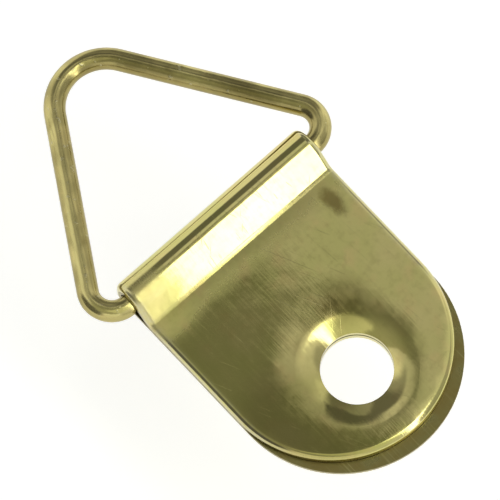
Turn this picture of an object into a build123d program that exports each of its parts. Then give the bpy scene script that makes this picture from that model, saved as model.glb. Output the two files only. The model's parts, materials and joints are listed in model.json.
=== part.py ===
# Small one-hole picture hanger with a triangular ring.
# A stamped strip of sheet is folded double round the straight bar of the ring,
# and one screw through both leaves fastens it to the back of a frame.
# Lengths are in millimetres. X runs along the fold and Y points at the ring's tip.
# Z points away from the frame. The origin is the middle of the screw hole, on the back face.
import os
from math import acos, asin, atan2, cos, degrees, radians, sin

from build123d import *

os.makedirs("parts", exist_ok=True)

# Strap
strap_width = 12.0
sheet = 0.5
leaf_gap = 0.04  # hairline between the two leaves where they lie on each other
hole_to_end = 4.85  # hole's middle to the round end of the back leaf
hole_to_bar = 9.8  # hole's middle to the axis of the ring's bar
front_leaf_setback = 0.7  # the front leaf stops this much short of the back leaf
rim_rounding = 0.3  # stamping rolls the rim over on the outer side of the sheet

# Fold round the bar
bar_clearance = 0.06  # all round the bar
back_bend_inside = 0.25  # tight bend where the back leaf turns up into the fold
ramp_foot_inside = 0.3  # bend where the ramp levels out on the back leaf
ramp_angle = 50.0  # degrees, slope of the front leaf coming down from the fold

# Screw hole
screw_hole_diameter = 3.6
flare_width = 1.3  # how far the turned-in edge spreads round the hole
flare_depth = 0.25  # how deep that edge turns in from the front face
back_hole_rounding = 0.12

# Ring of round wire
wire_diameter = 1.1
side_play = 0.05  # straight bar left between the strap's side and each base corner
base_corner_radius = 1.2  # at the middle of the wire
tip_radius = 2.5  # at the middle of the wire
ring_reach = 11.4  # from the bar's axis to the outside of the tip
butt_gap = 0.3  # between the wire's two ends, which meet inside the fold

overrun = 1.0  # how far a cut runs past what it cuts

# Places worked out from the sizes above
half_width = strap_width / 2
wire_radius = wire_diameter / 2
cavity_radius = wire_radius + bar_clearance
bar_height = sheet + cavity_radius
parting_height = sheet + leaf_gap / 2
front_face_height = 2 * sheet + leaf_gap
front_end = front_leaf_setback - hole_to_end
fold_top = bar_height + cavity_radius + sheet
fold_end = hole_to_bar + cavity_radius + sheet

# Bends and levels along the middle of the sheet's thickness
middle = sheet / 2
barrel_radius = cavity_radius + middle
back_bend_radius = back_bend_inside + middle
foot_radius = ramp_foot_inside + middle
front_leaf_level = front_face_height - middle
slope = radians(ramp_angle)
ramp_top = bar_height + barrel_radius * cos(slope)
ramp_bottom = front_leaf_level + foot_radius * (1 - cos(slope))
ramp_length = (ramp_top - ramp_bottom) / sin(slope)
foot_place = hole_to_bar - (barrel_radius + foot_radius) * sin(slope) - ramp_length * cos(slope)

# Turned-in edge of the screw hole, an arc that leaves the front face smoothly
bore_radius = screw_hole_diameter / 2
flare_radius = (flare_width**2 + flare_depth**2) / (2 * flare_depth)
flare_arc = degrees(asin(flare_width / flare_radius))

# Ring along the middle of its wire, whose arms run straight from the corners to the tip
corner_middle = half_width + side_play
tip_middle = ring_reach - wire_radius
arm_rise = tip_middle - tip_radius - base_corner_radius
arm_lean = degrees(
    atan2(arm_rise, -corner_middle)
    - acos((base_corner_radius - tip_radius) / Vector(corner_middle, arm_rise).length)
)
# It droops from the bar until the tip is level with the back face, as when it lies down
droop = degrees(asin((bar_height - wire_radius) / tip_middle))


def leaf_outline(end):
    """Outline of one leaf: straight sides from the fold and a half-round end."""
    head_middle = end + half_width
    with BuildLine() as outline:
        Polyline(
            (-half_width, head_middle),
            (-half_width, fold_end),
            (half_width, fold_end),
            (half_width, head_middle),
        )
        CenterArc((0, head_middle), half_width, 0, -180)
    return outline.line


def on_outer_side(face):
    """Whether a face of the folded sheet looks away from the bar and the other leaf."""
    centre = face.center()
    if centre.Y > foot_place:
        outward = Vector(0, centre.Y - hole_to_bar, centre.Z - bar_height)
    else:
        outward = Vector(0, 0, centre.Z - parting_height)
    return face.normal_at(centre).dot(outward) > leaf_gap


with BuildPart() as strap:
    # The sheet's section, from the back leaf's end round the bar to the front leaf's end
    with BuildSketch(Plane.YZ):
        with BuildLine():
            back = Line((-hole_to_end, middle), (fold_end - middle - back_bend_radius, middle))
            back_bend = JernArc(back @ 1, back % 1, back_bend_radius, 90)
            rise = Line(back_bend @ 1, (fold_end - middle, bar_height))
            barrel = JernArc(rise @ 1, rise % 1, barrel_radius, 90 + ramp_angle)
            ramp = PolarLine(barrel @ 1, ramp_length, direction=barrel % 1)
            foot = JernArc(ramp @ 1, ramp % 1, foot_radius, -ramp_angle)
            Line(foot @ 1, (front_end, front_leaf_level))
        trace(line_width=sheet)
    extrude(amount=half_width, both=True)

    # Round end of the back leaf
    with BuildSketch():
        with BuildLine():
            add(leaf_outline(-hole_to_end))
        make_face()
    extrude(amount=fold_top, mode=Mode.INTERSECT)

    # Round end of the front leaf
    with BuildSketch(Plane.XY.offset(parting_height)):
        with Locations((0, front_end)):
            Rectangle(strap_width + overrun, strap_width)
        with BuildLine():
            add(leaf_outline(front_end))
        make_face(mode=Mode.SUBTRACT)
    extrude(amount=sheet + overrun, mode=Mode.SUBTRACT)

    # Rolled rim, all the way round on the outer side of the sheet
    outer_side = strap.faces().filter_by(on_outer_side)
    walls = strap.faces().filter_by(GeomType.PLANE).filter_by(Axis.X)
    walls += strap.faces().filter_by(GeomType.CYLINDER).filter_by(Axis.Z)
    fillet(outer_side.edges() & walls.edges(), rim_rounding)

    # Screw hole through both leaves, with its front edge turned in and its back edge rounded
    Hole(bore_radius)
    with BuildSketch(Plane.XZ):
        with BuildLine():
            turned_edge = JernArc(
                (bore_radius + flare_width, front_face_height), (-1, 0), flare_radius, flare_arc
            )
            Polyline(
                turned_edge @ 1,
                (0, front_face_height - flare_depth),
                (0, front_face_height + overrun),
                (bore_radius + flare_width, front_face_height + overrun),
                turned_edge @ 0,
            )
        make_face()
    revolve(axis=Axis.Z, mode=Mode.SUBTRACT)
    back_circles = strap.edges().filter_by(GeomType.CIRCLE).group_by(Axis.Z)[0]
    fillet(back_circles.sort_by(SortBy.RADIUS)[0], back_hole_rounding)

ring_plane = Plane.XY.rotated((-droop, 0, 0))
ring_plane.origin = (0, hole_to_bar, bar_height)

with BuildPart() as ring:
    # Bar, corner, arm, tip, arm, corner and bar again, from one end of the wire to the other
    with BuildLine(ring_plane):
        bar = Line((butt_gap / 2, 0), (corner_middle, 0))
        first_corner = CenterArc(
            (corner_middle, base_corner_radius), base_corner_radius, -90, 90 + arm_lean
        )
        tip = CenterArc((0, tip_middle - tip_radius), tip_radius, arm_lean, 180 - 2 * arm_lean)
        last_corner = CenterArc(
            (-corner_middle, base_corner_radius), base_corner_radius, 180 - arm_lean, 90 + arm_lean
        )
        Line(first_corner @ 1, tip @ 0)
        Line(tip @ 1, last_corner @ 0)
        Line(last_corner @ 1, (-butt_gap / 2, 0))
    with BuildSketch(Plane(bar @ 0, z_dir=bar % 0)):
        Circle(wire_radius)
    sweep()

strap.part.label = "strap"
ring.part.label = "ring"
export_step(strap.part, "parts/strap.step")
export_step(ring.part, "parts/ring.step")
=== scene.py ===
"""Dresses a small picture hanger: a folded strap of plated sheet and a triangular wire ring.

X runs along the fold, Y points at the ring's tip and Z points away from the frame.
The strap and the ring are remodelled at the sizes of the solids that they stand for,
because the rolled rims, the slight crown of the pressed sheet and the finish show close up.
"""
import json
import math
from contextlib import contextmanager

import bmesh
import bpy
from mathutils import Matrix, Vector


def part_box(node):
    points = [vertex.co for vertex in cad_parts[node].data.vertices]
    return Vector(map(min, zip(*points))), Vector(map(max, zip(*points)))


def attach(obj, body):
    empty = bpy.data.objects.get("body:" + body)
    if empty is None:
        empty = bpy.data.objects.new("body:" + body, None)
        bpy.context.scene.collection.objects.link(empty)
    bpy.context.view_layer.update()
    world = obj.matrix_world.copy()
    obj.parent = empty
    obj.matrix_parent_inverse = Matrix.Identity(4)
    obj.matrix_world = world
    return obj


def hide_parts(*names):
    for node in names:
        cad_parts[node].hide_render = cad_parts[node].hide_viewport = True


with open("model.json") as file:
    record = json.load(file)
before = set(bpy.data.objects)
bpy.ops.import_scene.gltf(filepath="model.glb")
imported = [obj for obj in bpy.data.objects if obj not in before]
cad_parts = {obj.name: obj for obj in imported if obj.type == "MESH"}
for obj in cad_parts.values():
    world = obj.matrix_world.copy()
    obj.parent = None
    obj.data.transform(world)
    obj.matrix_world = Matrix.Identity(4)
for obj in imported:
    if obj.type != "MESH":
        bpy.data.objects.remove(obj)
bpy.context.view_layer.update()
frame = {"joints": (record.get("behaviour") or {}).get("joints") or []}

bl_info = {
    "name": "Picture hanger",
    "version": (1, 0, 0),
    "blender": (4, 5, 0),
    "location": "3D View > Sidebar > Hanger",
    "description": "Models and finishes a folded strap, its triangular ring and a plain stage",
    "category": "Object",
}

MM = 0.001
TOUCH = 0.001 * MM  # vertices this close are one
STRAP_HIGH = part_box("strap")[1]
ring_swing = frame["joints"][0]
BAR = Vector(ring_swing["pos_m"])  # the middle of the ring's bar, which the sheet is folded round

# Steps that each curve is cut into
BACK_BEND_STEPS = 12
BARREL_STEPS = 22
FOOT_STEPS = 8
ROUND_END_STEPS = 30
RIM_STEPS = 6
HOLE_STEPS = 96
BACK_ROUNDING_STEPS = 6
FLARE_STEPS = 12
WIRE_STEPS = 32
CORNER_STEPS = 20
TIP_STEPS = 26
SMOOTH_ANGLE = math.radians(40)  # edges that turn more than this stay sharp


# Sizes and colours that a user would change

def length(name, description, default):
    """A length in metres, shown in the scene's own units."""
    return bpy.props.FloatProperty(
        name=name, description=description, default=default, min=0, unit="LENGTH", precision=5
    )


def colour(name, description, default):
    """A linear colour without alpha."""
    return bpy.props.FloatVectorProperty(
        name=name, description=description, default=default, min=0, max=1, subtype="COLOR", size=3
    )


def share(name, description, default):
    """A value from 0 to 1."""
    return bpy.props.FloatProperty(
        name=name, description=description, default=default, min=0, max=1, subtype="FACTOR"
    )


class HangerStrapSizes(bpy.types.PropertyGroup):
    """Sizes of the folded strap."""

    width: length("Width", "Across the strap, along the fold", 2 * STRAP_HIGH.x)
    hole_to_end: length("Hole to end", "From the hole's middle to the round end", 4.85 * MM)
    sheet: length("Sheet", "Thickness of the sheet", 0.5 * MM)
    cavity: length("Cavity", "Radius inside the fold, round the bar", 0.61 * MM)
    leaf_gap: length("Leaf gap", "Hairline between the two leaves", 0.04 * MM)
    setback: length("Setback", "How much shorter the front leaf is than the back leaf", 0.7 * MM)
    back_bend: length("Back bend", "Inside radius where the back leaf turns up", 0.25 * MM)
    foot_bend: length("Foot bend", "Inside radius where the ramp levels out", 0.3 * MM)
    ramp_angle: bpy.props.FloatProperty(
        name="Ramp angle", description="Slope of the front leaf down from the fold",
        default=math.radians(50), subtype="ANGLE",
    )
    rim: length("Rim rounding", "Radius of the rim rolled over by the stamping", 0.3 * MM)
    hole: length("Screw hole", "Diameter of the screw hole", 3.6 * MM)
    flare_width: length("Flare width", "How far the hole's turned-in edge spreads", 1.3 * MM)
    flare_depth: length("Flare depth", "How deep the hole's edge turns in", 0.25 * MM)
    back_rounding: length("Back rounding", "Rounding of the hole at the back", 0.12 * MM)
    crown: length("Crown", "How far the middle of the strap bows up between its sides", 0.2 * MM)
    dish: length("Dish", "How far the sheet sinks round the hole", 0.09 * MM)
    dish_width: length("Dish width", "How far the sinking spreads past the hole", 1.4 * MM)
    dish_middle: bpy.props.FloatVectorProperty(
        name="Dish middle", description="Where the punch sank the sheet, a little beside the hole",
        size=2, default=(-0.3 * MM, 0.5 * MM), subtype="TRANSLATION", unit="LENGTH",
    )
    grid: length("Grid", "Size of the mesh cells on the flat faces", 0.5 * MM)


class HangerRingSizes(bpy.types.PropertyGroup):
    """Sizes of the wire ring, at the middle of the wire unless said otherwise."""

    wire: length("Wire", "Diameter of the wire", 1.1 * MM)
    side_play: length("Side play", "Straight bar beside the strap before each corner", 0.05 * MM)
    corner: length("Corner", "Radius of the two base corners", 1.2 * MM)
    tip: length("Tip", "Radius of the tip", 2.5 * MM)
    reach: length("Reach", "From the bar's axis to the outside of the tip", 11.4 * MM)
    butt_gap: length("Butt gap", "Between the wire's two ends inside the fold", 0.3 * MM)


class HangerFinish(bpy.types.PropertyGroup):
    """Colours and polish of the brass plating."""

    gold: colour("Gold", "Clean plating", (0.66, 0.585, 0.235))
    green: colour("Green gold", "Thin plating with a greenish cast", (0.6, 0.565, 0.2))
    warm: colour("Warm gold", "Plating that has darkened a little", (0.67, 0.55, 0.22))
    # Also the colour of the painted shade and painted dark reflections on the strap and the wire
    tarnish_and_shade: colour("Tarnish", "Brown film in creases", (0.26, 0.21, 0.07))
    worn: colour("Worn rim", "Rubbed plating with steel showing through", (0.62, 0.58, 0.38))
    # Dark partly as duller plating and partly as a painted dark reflection on the sheared edge
    edge: colour("Cut edge", "Plating over the sheared edge of the sheet", (0.36, 0.31, 0.12))
    wire: colour("Wire", "Darker plating on the wire", (0.38, 0.33, 0.13))
    inner: colour("Inner face", "Dull plating inside the fold", (0.3, 0.27, 0.1))
    polish: share("Roughness", "Roughness of clean plating", 0.075)


class HangerStage(bpy.types.PropertyGroup):
    """Floor, lights and camera."""

    floor: colour("Floor", "Plain pale floor", (0.85, 0.85, 0.85))
    floor_size: length("Floor size", "Along each side of the floor", 3.0)
    drop: length("Drop", "From the strap down to the floor, so that the ring can hang", 12.5 * MM)
    glow: share("Floor glow", "How much the floor is lit by itself where it is seen", 0.5)
    ceiling: share("Ceiling", "Brightness of the room overhead", 0.55)
    gear: share("Camera gear", "Brightness of the dark gear round the camera", 0.21)
    softbox: bpy.props.FloatProperty(
        name="Softbox", description="Brightness of the narrow softbox", default=4.5, min=0
    )
    panel: share("Panel", "Brightness of the white panels beside the softbox", 0.75)
    azimuth: bpy.props.FloatProperty(
        name="Azimuth", description="Where the camera stands round the hanger",
        default=math.radians(317.6), subtype="ANGLE",
    )
    elevation: bpy.props.FloatProperty(
        name="Elevation", description="How high the camera stands", default=math.radians(73),
        subtype="ANGLE",
    )
    aim: bpy.props.FloatVectorProperty(
        name="Aim", description="The place that the camera looks at", size=3,
        default=(0.18 * MM, 7.89 * MM, 1.11 * MM), subtype="TRANSLATION", unit="LENGTH",
    )
    distance: length("Distance", "From the camera to the hanger", 600 * MM)
    field: length("Field", "How much of the hanger's surroundings the picture spans", 24.3 * MM)


# Modelling by hand

def only(piece):
    """Selects one piece alone, for the next operator to act on."""
    bpy.ops.object.select_all(action="DESELECT")
    piece.select_set(True)
    bpy.context.view_layer.objects.active = piece


@contextmanager
def editing(piece):
    """Edit mode on one piece alone, and back to object mode after."""
    only(piece)
    bpy.ops.object.mode_set(mode="EDIT")
    yield
    bpy.ops.object.mode_set(mode="OBJECT")


def select(piece, kind, test):
    """Selects exactly the vertices, edges or faces that pass a test, in edit mode."""
    bpy.ops.mesh.select_mode(type=kind)
    bpy.ops.mesh.select_all(action="DESELECT")
    mesh = bmesh.from_edit_mesh(piece.data)
    found = {"VERT": mesh.verts, "EDGE": mesh.edges, "FACE": mesh.faces}[kind]
    for item in found:
        if test(item):
            item.select_set(True)
    bmesh.update_edit_mesh(piece.data)


def newest(name):
    """Names the object that a primitive operator has just added."""
    piece = bpy.context.view_layer.objects.active
    piece.name = piece.data.name = name
    return piece


def settle(piece):
    """Puts a piece's place, turn and size into its mesh."""
    only(piece)
    bpy.ops.object.transform_apply(location=True, rotation=True, scale=True)


def apply_modifier(piece, kind, **settings):
    """Adds a modifier, sets it up and applies it."""
    bpy.context.view_layer.objects.active = piece
    modifier = piece.modifiers.new(kind.title(), kind)
    for key, value in settings.items():
        setattr(modifier, key, value)
    bpy.ops.object.modifier_apply(modifier=modifier.name)


def extrude(step):
    """Extrudes the selected edges or faces by one step."""
    bpy.ops.mesh.extrude_region_move(TRANSFORM_OT_translate={"value": step})


def spin(steps, angle, centre, axis):
    """Spins what is selected; a positive angle turns anticlockwise seen from the axis's tip."""
    turned = {"X": (1, 0, 0), "Z": (0, 0, 1)}[axis]
    bpy.ops.mesh.spin(steps=steps, angle=-angle, center=centre, axis=turned)


def near(value, target):
    """Whether two lengths agree within a micrometre."""
    return abs(value - target) < TOUCH


def on_line(edge, y, z):
    """Whether an edge lies on the line along X at that place in the section."""
    return all(near(v.co.y, y) and near(v.co.z, z) for v in edge.verts)


FACE, CUT, INSIDE = range(3)  # material slots of the strap


def folded_sheet(size):
    """The outer surface of the folded sheet, from end to end, without thickness."""
    half = size.width / 2
    back_radius = size.back_bend + size.sheet
    barrel_radius = size.cavity + size.sheet
    bend_start = BAR.y + barrel_radius - back_radius
    top = 2 * size.sheet + size.leaf_gap
    ends = {0: -size.hole_to_end, top: size.setback - size.hole_to_end}

    bpy.ops.mesh.primitive_plane_add(size=size.width, location=(0, half - size.hole_to_end, 0))
    strap = newest("brass_strap")
    settle(strap)
    with editing(strap):
        square_end = size.width - size.hole_to_end
        select(strap, "EDGE", lambda e: on_line(e, square_end, 0))
        bpy.ops.transform.translate(value=(0, bend_start - square_end, 0))
        spin(BACK_BEND_STEPS, math.radians(90), (0, bend_start, back_radius), "X")
        extrude((0, 0, BAR.z - back_radius))
        spin(BARREL_STEPS, math.radians(90) + size.ramp_angle, BAR, "X")
        slope = Vector((0, -math.cos(size.ramp_angle), -math.sin(size.ramp_angle)))
        outward = Vector((0, -math.sin(size.ramp_angle), math.cos(size.ramp_angle)))
        ramp_top = BAR + barrel_radius * outward
        foot_drop = size.foot_bend * (1 - math.cos(size.ramp_angle))
        ramp = (ramp_top.z - top - foot_drop) / math.sin(size.ramp_angle) * slope
        extrude(ramp)
        spin(FOOT_STEPS, -size.ramp_angle, ramp_top + ramp + size.foot_bend * outward, "X")
        foot_end = (ramp_top + ramp).y - size.foot_bend * math.sin(size.ramp_angle)
        extrude((0, ends[top] - foot_end, 0))
        for z, y in ends.items():
            round_end(strap, half, y, z)
        bpy.ops.mesh.select_all(action="SELECT")
        bpy.ops.mesh.remove_doubles(threshold=TOUCH)
        bpy.ops.mesh.flip_normals()
    return strap


def round_end(strap, half, y, z):
    """Rounds both corners at one end of the sheet until they meet."""
    select(strap, "VERT", lambda v: near(v.co.y, y) and near(v.co.z, z))
    bpy.ops.mesh.bevel(
        offset=half, segments=ROUND_END_STEPS, affect="VERTICES", profile=0.5, clamp_overlap=False
    )


def give_thickness(strap, size):
    """Thickens the sheet inwards, with its cut edges in a slot of their own."""
    apply_modifier(
        strap, "SOLIDIFY", thickness=size.sheet, offset=-1, use_even_offset=True,
        material_offset=INSIDE, material_offset_rim=CUT,
    )


def roll_rim(strap, size):
    """Rounds the rim on the outer side of the sheet."""
    def on_rim(edge):
        return {face.material_index for face in edge.link_faces} == {FACE, CUT}

    with editing(strap):
        select(strap, "EDGE", on_rim)
        bpy.ops.mesh.bevel(
            offset=size.rim, segments=RIM_STEPS, affect="EDGES", profile=0.5, clamp_overlap=False,
            material=FACE,
        )


def hole_profile(size):
    """Radius and height pairs up the hole's wall, from below the back face to above the front."""
    bore = size.hole / 2
    brim = bore + size.flare_width
    top = 2 * size.sheet + size.leaf_gap
    overrun = size.sheet
    hair = 0.002 * MM  # the flare runs out this much above the front face

    rounding = []
    for step in range(BACK_ROUNDING_STEPS + 1):
        turn = math.radians(90) * step / BACK_ROUNDING_STEPS
        radius = bore + size.back_rounding * (1 - math.sin(turn))
        rounding.append((radius, size.back_rounding * (1 - math.cos(turn))))

    flare_radius = (size.flare_width**2 + size.flare_depth**2) / (2 * size.flare_depth)
    arc = math.asin(size.flare_width / flare_radius)
    flare = []
    for step in range(FLARE_STEPS):
        turn = arc * (1 - step / FLARE_STEPS)
        radius = brim - flare_radius * math.sin(turn)
        flare.append((radius, top - flare_radius * (1 - math.cos(turn))))

    below = (bore + size.back_rounding, -overrun)
    return [below, *rounding, *flare, (brim, top + hair), (brim, top + overrun)]


def cut_hole(strap, size):
    """Cuts the screw hole through both leaves with a turned cutter."""
    profile = hole_profile(size)
    start_radius, start = profile[0]
    bpy.ops.mesh.primitive_circle_add(
        vertices=HOLE_STEPS, radius=start_radius, fill_type="NGON", location=(0, 0, start)
    )
    cutter = newest("hole_cutter")
    settle(cutter)
    with editing(cutter):
        bpy.ops.mesh.select_all(action="SELECT")
        for (radius, height), (next_radius, next_height) in zip(profile, profile[1:]):
            extrude((0, 0, next_height - height))
            wider = next_radius / radius
            bpy.ops.transform.resize(value=(wider, wider, 1), center_override=(0, 0, next_height))
        bpy.ops.mesh.select_all(action="SELECT")
        bpy.ops.mesh.normals_make_consistent(inside=False)
    apply_modifier(strap, "BOOLEAN", operation="DIFFERENCE", solver="EXACT", object=cutter)
    bpy.data.objects.remove(cutter)


def grid_flats(strap, size):
    """Cuts the flat faces of both leaves into a grid, so that the sheet can bow."""
    level = 0.9999  # how much of a flat face's normal is upright
    sliver = (size.grid / 10) ** 2  # faces no larger than this are left whole

    def is_flat(face):
        return abs(face.normal.z) > level and face.calc_area() > sliver

    half = size.width / 2
    cuts = [((x, 0, 0), (1, 0, 0)) for x in steps_between(-half, half, size.grid)]
    cuts += [((0, y, 0), (0, 1, 0)) for y in steps_between(-size.hole_to_end, BAR.y, size.grid)]
    with editing(strap):
        for place, across in cuts:
            select(strap, "FACE", is_flat)
            bpy.ops.mesh.bisect(plane_co=place, plane_no=across, threshold=TOUCH / 2)


def steps_between(low, high, step):
    """Evenly spaced places strictly between two limits."""
    count = round((high - low) / step)
    return [low + (high - low) * n / count for n in range(1, count)]


def ease(value, low, high):
    """Rises smoothly from 0 at low to 1 at high."""
    t = min(max((value - low) / (high - low), 0), 1)
    return t * t * (3 - 2 * t)


def press(strap, size):
    """Bows the front leaf between its sides and sinks it a little round the hole."""
    half = size.width / 2
    fade = (BAR.y - 2.4 * MM, BAR.y - 0.6 * MM)  # where the bow runs out towards the fold
    parting = size.sheet + size.leaf_gap / 2

    def rise(x, y):
        out = math.hypot(x, min(y + size.hole_to_end - half, 0)) / half
        bow = size.crown * (1 - out**2) * (1 - ease(y, *fade))
        aside = math.hypot(x - size.dish_middle[0], y - size.dish_middle[1])
        brim = max(aside - size.hole / 2, 0)
        return bow - size.dish * math.exp(-((brim / size.dish_width) ** 2))

    mesh = strap.data
    step = 0.001 * MM
    leaning = []
    for loop, corner in zip(mesh.loops, mesh.corner_normals):
        x, y, z = mesh.vertices[loop.vertex_index].co
        normal = corner.vector.copy()
        if z > parting:
            lean_x = (rise(x + step, y) - rise(x - step, y)) / (2 * step)
            lean_y = (rise(x, y + step) - rise(x, y - step)) / (2 * step)
            normal -= normal.z * Vector((lean_x, lean_y, 0))
        leaning.append(normal.normalized())
    for vertex in mesh.vertices:
        if vertex.co.z > parting:
            vertex.co.z += rise(vertex.co.x, vertex.co.y)
    mesh.normals_split_custom_set(leaning)


def smooth(piece):
    """Smooth shading, weighted to the larger faces."""
    only(piece)
    bpy.ops.object.shade_smooth_by_angle(angle=SMOOTH_ANGLE)
    apply_modifier(piece, "WEIGHTED_NORMAL", keep_sharp=True, weight=80)


def wire_ring(size):
    """The wire bent round its flat triangle, from one butt end to the other; the bar is at y 0."""
    radius = size.wire / 2
    corner_x = STRAP_HIGH.x + size.side_play
    tip_middle = size.reach - radius
    rise = tip_middle - size.tip - size.corner
    lean = math.atan2(rise, -corner_x) - math.acos(
        (size.corner - size.tip) / math.hypot(corner_x, rise)
    )
    aside = Vector((math.cos(lean), math.sin(lean), 0))
    corner = Vector((corner_x, size.corner, 0))
    tip = Vector((0, tip_middle - size.tip, 0))
    mirrored = Vector((-1, 1, 1))
    arm = (tip + size.tip * aside) - (corner + size.corner * aside)
    half_bar = (corner_x - size.butt_gap / 2, 0, 0)

    bpy.ops.mesh.primitive_circle_add(
        vertices=WIRE_STEPS, radius=radius, fill_type="NOTHING",
        location=(size.butt_gap / 2, 0, 0), rotation=(0, math.radians(90), 0),
    )
    ring = newest("wire_ring")
    settle(ring)
    mark_around(ring, radius)
    with editing(ring):
        bpy.ops.mesh.select_all(action="SELECT")
        bpy.ops.mesh.edge_face_add()
        bpy.ops.mesh.select_mode(type="FACE")
        extrude(half_bar)
        spin(CORNER_STEPS, math.radians(90) + lean, corner, "Z")
        extrude(arm)
        spin(TIP_STEPS, math.radians(180) - 2 * lean, tip, "Z")
        extrude(arm * Vector((1, -1, 1)))
        spin(CORNER_STEPS, math.radians(90) + lean, corner * mirrored, "Z")
        extrude(half_bar)
        bpy.ops.mesh.select_all(action="SELECT")
        bpy.ops.mesh.remove_doubles(threshold=TOUCH)
        bpy.ops.mesh.normals_make_consistent(inside=False)
    return ring


def mark_around(ring, radius):
    """Notes where each vertex of the wire's section stands round it, for the drawing lines and for
    the painted shade, reflection and highlight on the wire's sides.
    """
    around = ring.data.attributes.new("around", "FLOAT_VECTOR", "POINT")
    for vertex, mark in zip(ring.data.vertices, around.data):
        mark.vector = (0, vertex.co.y / radius, vertex.co.z / radius)


def let_droop(ring, size):
    """Seats the bar in the fold and lets the tip droop to the level of the strap's back face."""
    radius = size.wire / 2
    droop = math.asin((BAR.z - radius) / (size.reach - radius))
    with editing(ring):
        bpy.ops.mesh.select_all(action="SELECT")
        bpy.ops.transform.translate(value=BAR)
        bpy.ops.transform.rotate(value=droop, orient_axis="X", center_override=BAR)


# Materials

class Nodes:
    """Adds nodes to the tree of one material or of the world."""

    def __init__(self, tree):
        self.tree = tree

    def add(self, kind, wires, **options):
        """One node, with its sockets fed by numbers or by other nodes."""
        made = self.tree.nodes.new("ShaderNode" + kind)
        for key, value in options.items():
            setattr(made, key, value)
        for socket, value in wires.items():
            self.feed(made.inputs[socket], value)
        return made

    def feed(self, socket, value):
        if isinstance(value, bpy.types.NodeSocket):
            self.tree.links.new(value, socket)
        else:
            socket.default_value = value

    def maths(self, operation, *values):
        return self.add("Math", dict(enumerate(values)), operation=operation).outputs[0]

    def times(self, first, second):
        return self.maths("MULTIPLY", first, second)

    def plus(self, first, second):
        return self.maths("ADD", first, second)

    def larger(self, first, second):
        return self.maths("MAXIMUM", first, second)

    def split(self, vector):
        """The X, Y and Z of a vector."""
        return self.add("SeparateXYZ", {0: vector}).outputs

    def distance(self, place, middle=(0, 0, 0)):
        """How far a place is from a middle."""
        return self.add("VectorMath", {0: place, 1: middle}, operation="DISTANCE").outputs["Value"]

    def scale(self, vector, factor):
        """A vector made longer or shorter."""
        wires = {0: vector, "Scale": factor}
        return self.add("VectorMath", wires, operation="SCALE").outputs[0]

    def ease(self, value, low, high, bottom=0.0, top=1.0):
        """Goes smoothly from bottom to top while the value goes from low to high."""
        wires = {"Value": value, "From Min": low, "From Max": high, "To Min": bottom, "To Max": top}
        return self.add("MapRange", wires, interpolation_type="SMOOTHSTEP").outputs[0]

    def between(self, value, low, high, soft):
        """1 between two limits and 0 outside them, with soft edges."""
        return self.times(
            self.ease(value, low - soft, low + soft),
            self.ease(value, high - soft, high + soft, 1.0, 0.0),
        )

    def noise(self, place, scale, detail, seed):
        """Cloudy noise round 0.5, finer for a larger scale."""
        wires = {"Vector": place, "W": seed, "Scale": scale, "Detail": detail}
        return self.add("TexNoise", wires, noise_dimensions="4D").outputs["Fac"]

    def stretch(self, place, lengths, turn=0.0, middle=(0, 0, 0)):
        """Turns a place about Z round a middle and divides it by a length along each axis."""
        wires = {"Vector": place, "Location": middle, "Rotation": (0, 0, turn), "Scale": lengths}
        return self.add("Mapping", wires, vector_type="TEXTURE").outputs[0]

    def tint(self, share, first, second):
        """Mixes two colours."""
        made = self.add("Mix", {0: share}, data_type="RGBA")
        for socket, value in ((made.inputs[6], first), (made.inputs[7], second)):
            self.feed(socket, value if isinstance(value, bpy.types.NodeSocket) else (*value, 1))
        return made.outputs[2]

    def mix(self, share, first, second):
        """Mixes two numbers."""
        return self.add("Mix", {0: share, 2: first, 3: second}).outputs[0]

    def place_mm(self):
        """The place on the piece in millimetres."""
        return self.scale(self.add("TexCoord", {}).outputs["Object"], 1 / MM)

    def scratches(self, place, turn, seed, long=5.0, fine=0.06, amount=0.66):
        """Fine scratches that run one way, in patches."""
        lines = self.noise(self.stretch(place, (fine, long, 1), turn), 1.0, 1.0, seed)
        patches = self.noise(place, 0.45, 1.0, seed + 7)
        return self.times(self.ease(lines, amount, amount + 0.1), self.ease(patches, 0.5, 0.6))

    def bump(self, height, depth, normal=None):
        """Relief of a height from 0 to 1, as deep as given in metres."""
        wires = {"Height": height, "Distance": depth, "Strength": 1.0}
        if normal:
            wires["Normal"] = normal
        return self.add("Bump", wires).outputs[0]


def new_metal(name):
    """An empty metal material, its nodes and its shader."""
    material = bpy.data.materials.new(name)
    material.use_nodes = True
    shader = material.node_tree.nodes["Principled BSDF"]
    shader.inputs["Metallic"].default_value = 1
    return material, Nodes(material.node_tree), shader


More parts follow.
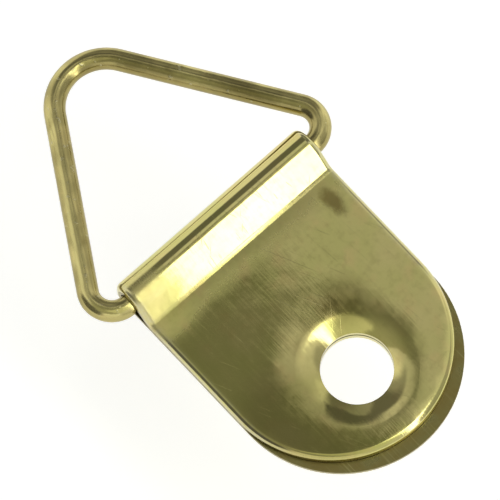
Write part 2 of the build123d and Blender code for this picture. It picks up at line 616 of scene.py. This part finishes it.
def strap_plating(finish, size):
    """Bright plating outside on the strap, scuffed, worn at the rim and dull in the crease, with
    painted shade round the hole and a painted dark reflection beside it.
    """
    material, nodes, shader = new_metal("strap_plating")
    place = nodes.place_mm()
    axes = nodes.split(place)
    half = size.width / 2 / MM
    head = half - size.hole_to_end / MM  # where the straight sides give way to the round end
    past = nodes.maths("MINIMUM", nodes.maths("SUBTRACT", axes["Y"], head), 0.0)
    outward = nodes.distance(nodes.add("CombineXYZ", {0: axes["X"], 1: past}).outputs[0])
    from_hole = nodes.distance(nodes.add("CombineXYZ", {0: axes["X"], 1: axes["Y"]}).outputs[0])
    in_front = nodes.ease(axes["Z"], 0.35, 0.65)

    clouds = nodes.noise(place, 0.35, 2.0, 1.3)
    patches = nodes.noise(place, 0.8, 3.0, 5.1)
    mottle = nodes.noise(place, 3.2, 4.0, 2.7)
    rolling = nodes.noise(nodes.stretch(place, (0.09, 5, 1)), 1.0, 2.0, 8.0)
    marks = nodes.scratches(place, math.radians(24), 3.0)
    for turn, seed, long, fine, amount in (
        (-38, 11.0, 5.0, 0.05, 0.69), (5, 23.0, 9.0, 0.05, 0.66), (-8, 29.0, 7.0, 0.08, 0.69),
    ):
        more = nodes.scratches(place, math.radians(turn), seed, long, fine, amount)
        marks = nodes.larger(marks, more)

    # A darker band along the crease, painted shade round the brim of the hole's funnel, and a dark
    # dull patch beside the fold
    crease = nodes.times(nodes.between(axes["Y"], 7.85, 8.3, 0.22), 0.12)
    funnel = nodes.times(nodes.between(from_hole, 2.75, 3.2, 0.3), 0.25)
    dark_bands_and_shade = nodes.times(nodes.larger(crease, funnel), nodes.ease(patches, 0.3, 0.6, 0.35, 1.0))
    dark_patch_at = nodes.distance(nodes.stretch(place, (0.55, 1.15, 1), middle=(4.85, 7.05, 1.1)))
    dark_patch_at = nodes.plus(dark_patch_at, nodes.times(mottle, 0.9))
    dark_bands_and_shade = nodes.larger(dark_bands_and_shade, nodes.ease(dark_patch_at, 0.8, 1.5, 0.95, 0.0))

    # Painted dark reflection at the left of the hole and painted shade above it, brown and not made
    # rougher
    painted_shade_and_dark_bands = dark_bands_and_shade
    for middle, inner, outer, strength in (
        ((-4.0, -0.5, 1.0), 2.2, 4.6, 0.4), ((1.8, 2.9, 1.0), 0.6, 2.1, 0.6),
    ):
        away = nodes.plus(nodes.distance(place, middle), nodes.times(mottle, 0.6))
        painted_shade_and_dark_bands = nodes.larger(painted_shade_and_dark_bands, nodes.ease(away, inner, outer, strength, 0.0))
    dark_bands_and_shade = nodes.times(dark_bands_and_shade, in_front)
    painted_shade_and_dark_bands = nodes.times(painted_shade_and_dark_bands, in_front)

    tone = nodes.tint(nodes.ease(clouds, 0.35, 0.65), finish.green, finish.gold)
    tone = nodes.tint(nodes.ease(patches, 0.5, 0.75, 0.0, 0.8), tone, finish.warm)
    off_ramp = nodes.ease(axes["Y"], 8.2, 8.5, 1.0, 0.3)
    specks = nodes.times(nodes.ease(mottle, 0.45, 0.75, 0.0, 0.14), off_ramp)
    tone = nodes.tint(specks, tone, finish.tarnish_and_shade)
    # Painted shade and dark reflection, with the darker band and patch, in the tarnish colour
    tone = nodes.tint(painted_shade_and_dark_bands, tone, finish.tarnish_and_shade)
    near_rim = nodes.ease(outward, half - 0.45, half - 0.1)
    wear = nodes.times(near_rim, nodes.ease(mottle, 0.35, 0.6, 0.3, 1.0))
    tone = nodes.tint(nodes.times(wear, 0.6), tone, finish.worn)
    tone = nodes.tint(nodes.times(marks, 0.15), tone, finish.worn)
    nodes.feed(shader.inputs["Base Color"], tone)

    # The plate is rubbed before the crease, and a corner of the ramp is dull
    before_crease = nodes.ease(axes["Y"], 6.7, 7.7)
    rubbed = nodes.times(before_crease, nodes.ease(axes["Y"], 8.1, 8.4, 1.0, 0.0))
    dull_at = nodes.distance(place, (-5.2, 8.8, 1.6))
    rough = nodes.ease(mottle, 0.3, 0.8, finish.polish - 0.02, finish.polish + 0.05)
    for more in (
        nodes.ease(rolling, 0.35, 0.75, 0.0, 0.05),
        nodes.times(marks, 0.06),
        nodes.times(dark_bands_and_shade, 0.25),
        nodes.times(nodes.times(rubbed, in_front), 0.2),
        nodes.ease(dull_at, 0.6, 2.8, 0.26, 0.0),
    ):
        rough = nodes.plus(rough, more)
    nodes.feed(shader.inputs["Roughness"], rough)

    waves = nodes.noise(place, 0.9, 1.0, 9.0)
    relief = nodes.bump(waves, 0.008 * MM)
    relief = nodes.bump(rolling, 0.0012 * MM, relief)
    relief = nodes.bump(mottle, 0.0015 * MM, relief)
    relief = nodes.bump(nodes.maths("SUBTRACT", 1.0, marks), 0.0015 * MM, relief)
    nodes.feed(shader.inputs["Normal"], relief)
    return material


def cut_plating(finish):
    """Plating over the sheared edge of the sheet, with the marks of the shear across it; its dark
    colour is partly duller plating and partly a painted dark reflection.
    """
    material, nodes, shader = new_metal("strap_cut_edge")
    place = nodes.place_mm()
    shear = nodes.noise(nodes.stretch(place, (0.12, 0.12, 1.5)), 1.0, 3.0, 4.0)
    clouds = nodes.noise(place, 1.5, 3.0, 6.0)
    tone = nodes.tint(nodes.ease(clouds, 0.35, 0.7), finish.edge, finish.tarnish_and_shade)
    tone = nodes.tint(nodes.ease(shear, 0.5, 0.8, 0.0, 0.5), tone, finish.gold)
    nodes.feed(shader.inputs["Base Color"], tone)
    nodes.feed(shader.inputs["Roughness"], nodes.ease(shear, 0.3, 0.8, 0.24, 0.42))
    nodes.feed(shader.inputs["Normal"], nodes.bump(shear, 0.012 * MM))
    return material


def inner_plating(finish):
    """Duller plating on the inner face of the sheet, with the rolling lines left in it."""
    material, nodes, shader = new_metal("strap_inner_face")
    place = nodes.place_mm()
    lines = nodes.noise(nodes.stretch(place, (0.1, 4, 1)), 1.0, 3.0, 2.0)
    clouds = nodes.noise(place, 1.1, 3.0, 3.0)
    tone = nodes.tint(nodes.ease(clouds, 0.35, 0.7), finish.inner, finish.tarnish_and_shade)
    tone = nodes.tint(nodes.ease(lines, 0.55, 0.8, 0.0, 0.35), tone, finish.gold)
    nodes.feed(shader.inputs["Base Color"], tone)
    nodes.feed(shader.inputs["Roughness"], nodes.ease(clouds, 0.3, 0.7, 0.24, 0.36))
    nodes.feed(shader.inputs["Normal"], nodes.bump(lines, 0.004 * MM))
    return material


def wire_plating(finish, size):
    """Plating on drawn wire, with drawing lines along it and marks where it was bent, a painted
    dark reflection on its flanks, painted shade on its inner side and a painted highlight on its
    outer side.
    """
    material, nodes, shader = new_metal("wire_plating")
    place = nodes.place_mm()
    across = nodes.split(place)["X"]
    mark = nodes.add("Attribute", {}, attribute_name="around").outputs["Vector"]
    around = nodes.split(mark)
    girth = nodes.scale(mark, size.wire / 2 / MM)
    creep = nodes.scale(place, 0.12)
    along = nodes.add("VectorMath", {0: girth, 1: creep}, operation="ADD").outputs[0]
    drawing = nodes.noise(along, 9.0, 3.0, 3.0)
    nicks = nodes.ease(nodes.noise(place, 3.0, 3.0, 12.0), 0.62, 0.7)
    clouds = nodes.noise(place, 0.42, 2.0, 6.0)
    patches = nodes.noise(place, 1.1, 3.0, 15.0)

    tone = nodes.tint(nodes.ease(clouds, 0.42, 0.66), finish.wire, finish.gold)
    tone = nodes.tint(nodes.ease(patches, 0.48, 0.66, 0.0, 0.35), tone, finish.warm)
    tone = nodes.tint(nodes.ease(patches, 0.5, 0.28, 0.0, 0.5), tone, finish.tarnish_and_shade)
    tone = nodes.tint(nodes.ease(drawing, 0.5, 0.75, 0.0, 0.45), tone, finish.tarnish_and_shade)
    # Painted dark reflection on the wire's flanks
    painted_flank_reflection = nodes.ease(nodes.maths("ABSOLUTE", around["Z"]), 0.45, 0.85, 0.5, 0.0)
    tone = nodes.tint(painted_flank_reflection, tone, finish.tarnish_and_shade)
    # Painted shade on the inner side of the wire
    painted_inner_shade = nodes.ease(around["Y"], 0.1, 0.5, 0.0, 0.35)
    tone = nodes.tint(painted_inner_shade, tone, finish.tarnish_and_shade)
    # Painted highlight in clean gold on the outer side, strongest on the left arm
    outer_side = nodes.between(around["Y"], -0.6, 0.1, 0.15)
    painted_highlight = nodes.times(nodes.ease(across, -5.5, -1.5, 0.65, 0.1), outer_side)
    tone = nodes.tint(painted_highlight, tone, finish.gold)
    tone = nodes.tint(nodes.times(nicks, 0.4), tone, finish.worn)
    nodes.feed(shader.inputs["Base Color"], tone)

    rough = nodes.ease(drawing, 0.3, 0.75, finish.polish + 0.07, finish.polish + 0.2)
    nodes.feed(shader.inputs["Roughness"], nodes.plus(rough, nodes.times(nicks, 0.12)))
    relief = nodes.bump(drawing, 0.004 * MM)
    relief = nodes.bump(patches, 0.008 * MM, relief)
    nodes.feed(shader.inputs["Normal"], nodes.bump(nicks, 0.003 * MM, relief))
    return material


# Pieces

class HANGER_OT_strap(bpy.types.Operator):
    """Models the folded strap with its rolled rim and its screw hole, and finishes it"""

    bl_idname = "hanger.strap"
    bl_label = "Folded strap"

    def execute(self, context):
        size = context.scene.hanger_strap
        finish = context.scene.hanger_finish
        strap = folded_sheet(size)
        for material in (strap_plating(finish, size), cut_plating(finish), inner_plating(finish)):
            strap.data.materials.append(material)
        give_thickness(strap, size)
        roll_rim(strap, size)
        cut_hole(strap, size)
        grid_flats(strap, size)
        smooth(strap)
        press(strap, size)
        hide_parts("strap")
        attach(strap, "strap")
        return {"FINISHED"}


class HANGER_OT_ring(bpy.types.Operator):
    """Bends the wire ring, seats it in the fold and finishes it"""

    bl_idname = "hanger.ring"
    bl_label = "Wire ring"

    def execute(self, context):
        size = context.scene.hanger_ring
        finish = context.scene.hanger_finish
        ring = wire_ring(size)
        let_droop(ring, size)
        ring.data.materials.append(wire_plating(finish, size))
        smooth(ring)
        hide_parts("ring")
        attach(ring, "ring")
        return {"FINISHED"}


def towards(azimuth, elevation):
    """The direction from the hanger to something round it; azimuth 0 stands at -Y."""
    flat = math.cos(elevation)
    return Vector((math.sin(azimuth) * flat, -math.cos(azimuth) * flat, math.sin(elevation)))


def light_world(context):
    """A pale room with white panels, a narrow softbox, dark corners, a dark bar and camera gear.

    A place in the room is a pitch, in degrees from overhead towards +Y, and a side, which goes
    from -1 at -X to 1 at +X. The softness of an edge is given in the same units.
    """
    world = bpy.data.worlds.new("pale_room")
    context.scene.world = world
    world.use_nodes = True
    nodes = Nodes(world.node_tree)
    stage = context.scene.hanger_stage
    look = nodes.add("TexCoord", {}).outputs["Generated"]
    axes = nodes.split(look)
    side = axes["X"]
    pitch = nodes.maths("ARCTAN2", axes["Y"], axes["Z"])

    def spot(direction, inner, outer):
        """1 within an angle of a direction and 0 past a wider one."""
        wires = {0: look, 1: direction}
        facing = nodes.add("VectorMath", wires, operation="DOT_PRODUCT").outputs["Value"]
        return nodes.ease(facing, math.cos(math.radians(outer)), math.cos(math.radians(inner)))

    def patch(pitches, soft, sides, side_soft):
        """1 inside a rectangle of the room and 0 outside it."""
        low, high = (math.radians(angle) for angle in pitches)
        upright = nodes.between(pitch, low, high, math.radians(soft))
        return nodes.times(upright, nodes.between(side, *sides, side_soft))

    past_horizon = -100
    far_corner = spot(towards(math.radians(130), math.radians(26)), 22, 31)
    left_corner = spot(towards(math.radians(257), math.radians(22)), 26, 36)
    dark_bar = patch(pitches=(29, 60), soft=3, sides=(-0.15, 0.6), side_soft=0.1)
    bar_end = patch(pitches=(16, 33), soft=1.5, sides=(0.25, 0.6), side_soft=0.03)
    slit = patch(pitches=(15.5, 27), soft=1.5, sides=(0.15, 0.22), side_soft=0.01)
    wide_panel = patch(pitches=(past_horizon, -3), soft=3, sides=(-0.35, 0.95), side_soft=0.05)
    tall_panel = patch(pitches=(past_horizon, 5), soft=3, sides=(0.19, 0.6), side_soft=0.02)
    dim_panel = patch(pitches=(past_horizon, -14), soft=4, sides=(0.32, 0.75), side_soft=0.05)
    softbox = patch(pitches=(past_horizon, -2), soft=2, sides=(0.1, 0.255), side_soft=0.02)

    # The gear leaves a gap towards +X, below a pitch of about 10 degrees
    gap = nodes.times(
        nodes.ease(side, 0.183, 0.196),
        nodes.ease(pitch, math.radians(9.5), math.radians(11.2), 1.0, 0.0),
    )
    gear = spot(towards(stage.azimuth, stage.elevation), 33.4, 34.8)
    gear = nodes.times(gear, nodes.maths("SUBTRACT", 1.0, gap))

    bar_light = nodes.larger(
        nodes.ease(side, 0.0, 0.12, 0.35, 0.17), nodes.ease(side, 0.3, 0.42, 0.0, 0.38)
    )
    room = nodes.ease(axes["Z"], 0.72, 0.94, 1.0, stage.ceiling)
    for covered, brightness in (
        (far_corner, 0.25),
        (left_corner, 0.15),
        (dark_bar, bar_light),
        (bar_end, 0.17),
        (gear, nodes.ease(side, -0.5, 0.1, 2 * stage.gear, stage.gear)),
        (slit, stage.panel),
        (wide_panel, stage.panel),
        (tall_panel, stage.panel),
        (dim_panel, 0.6 * stage.panel),
        (softbox, nodes.ease(side, 0.12, 0.185, stage.softbox / 3, stage.softbox)),
    ):
        room = nodes.mix(covered, room, brightness)

    seen = nodes.add("LightPath", {}).outputs["Is Camera Ray"]
    sky = nodes.tree.nodes["Background"]
    nodes.feed(sky.inputs["Strength"], nodes.mix(seen, room, 1.0))
    nodes.feed(sky.inputs["Color"], nodes.tint(gear, (1, 1, 1), (0.98, 1, 0.82)))


def lay_floor(stage):
    """The pale floor, a little lit by itself where it is looked at, so that it comes out white."""
    bpy.ops.object.select_all(action="DESELECT")
    bpy.ops.mesh.primitive_plane_add(size=stage.floor_size, location=(0, 0, -stage.drop))
    floor = newest("floor")
    settle(floor)
    material = bpy.data.materials.new("pale_floor")
    material.use_nodes = True
    nodes = Nodes(material.node_tree)
    shader = material.node_tree.nodes["Principled BSDF"]
    shader.inputs["Roughness"].default_value = 0.8
    shader.inputs["Specular IOR Level"].default_value = 0.1
    shader.inputs["Base Color"].default_value = (*stage.floor, 1)
    path = nodes.add("LightPath", {}).outputs
    seen = nodes.larger(path["Is Camera Ray"], path["Is Glossy Ray"])
    seen = nodes.larger(seen, path["Is Transmission Ray"])
    shader.inputs["Emission Color"].default_value = (1, 1, 1, 1)
    nodes.feed(shader.inputs["Emission Strength"], nodes.times(seen, stage.glow))
    floor.data.materials.append(material)


class HANGER_OT_stage(bpy.types.Operator):
    """Lays the pale floor, lights the room and sets up the camera"""

    bl_idname = "hanger.stage"
    bl_label = "Stage"

    def execute(self, context):
        stage = context.scene.hanger_stage
        lay_floor(stage)
        light_world(context)

        out = towards(stage.azimuth, stage.elevation)
        data = bpy.data.cameras.new("camera")
        data.lens = data.sensor_width * stage.distance / stage.field
        data.clip_start = stage.distance / 10
        camera = bpy.data.objects.new("camera", data)
        context.scene.collection.objects.link(camera)
        camera.location = Vector(stage.aim) + out * stage.distance
        camera.rotation_mode = "QUATERNION"
        camera.rotation_quaternion = out.to_track_quat("Z", "Y")
        context.scene.camera = camera
        context.scene.view_settings.view_transform = "Standard"
        return {"FINISHED"}


class HANGER_PT_sidebar(bpy.types.Panel):
    """Lists the hanger's pieces and their sizes"""

    bl_label = "Picture hanger"
    bl_idname = "HANGER_PT_sidebar"
    bl_space_type = "VIEW_3D"
    bl_region_type = "UI"
    bl_category = "Hanger"

    def draw(self, context):
        for operator, group in (
            (HANGER_OT_strap, context.scene.hanger_strap),
            (HANGER_OT_ring, context.scene.hanger_ring),
            (None, context.scene.hanger_finish),
            (HANGER_OT_stage, context.scene.hanger_stage),
        ):
            box = self.layout.box()
            if operator:
                box.operator(operator.bl_idname)
            for name in group.bl_rna.properties.keys():
                if name not in ("rna_type", "name"):
                    box.prop(group, name)


GROUPS = {
    "hanger_strap": HangerStrapSizes,
    "hanger_ring": HangerRingSizes,
    "hanger_finish": HangerFinish,
    "hanger_stage": HangerStage,
}
CLASSES = (*GROUPS.values(), HANGER_OT_strap, HANGER_OT_ring, HANGER_OT_stage, HANGER_PT_sidebar)


def register():
    for part in CLASSES:
        bpy.utils.register_class(part)
    for name, group in GROUPS.items():
        setattr(bpy.types.Scene, name, bpy.props.PointerProperty(type=group))


def unregister():
    for name in GROUPS:
        delattr(bpy.types.Scene, name)
    for part in reversed(CLASSES):
        bpy.utils.unregister_class(part)


def main():
    register()
    bpy.ops.hanger.strap()
    bpy.ops.hanger.ring()
    bpy.ops.hanger.stage()


if __name__ == "__main__":
    main()
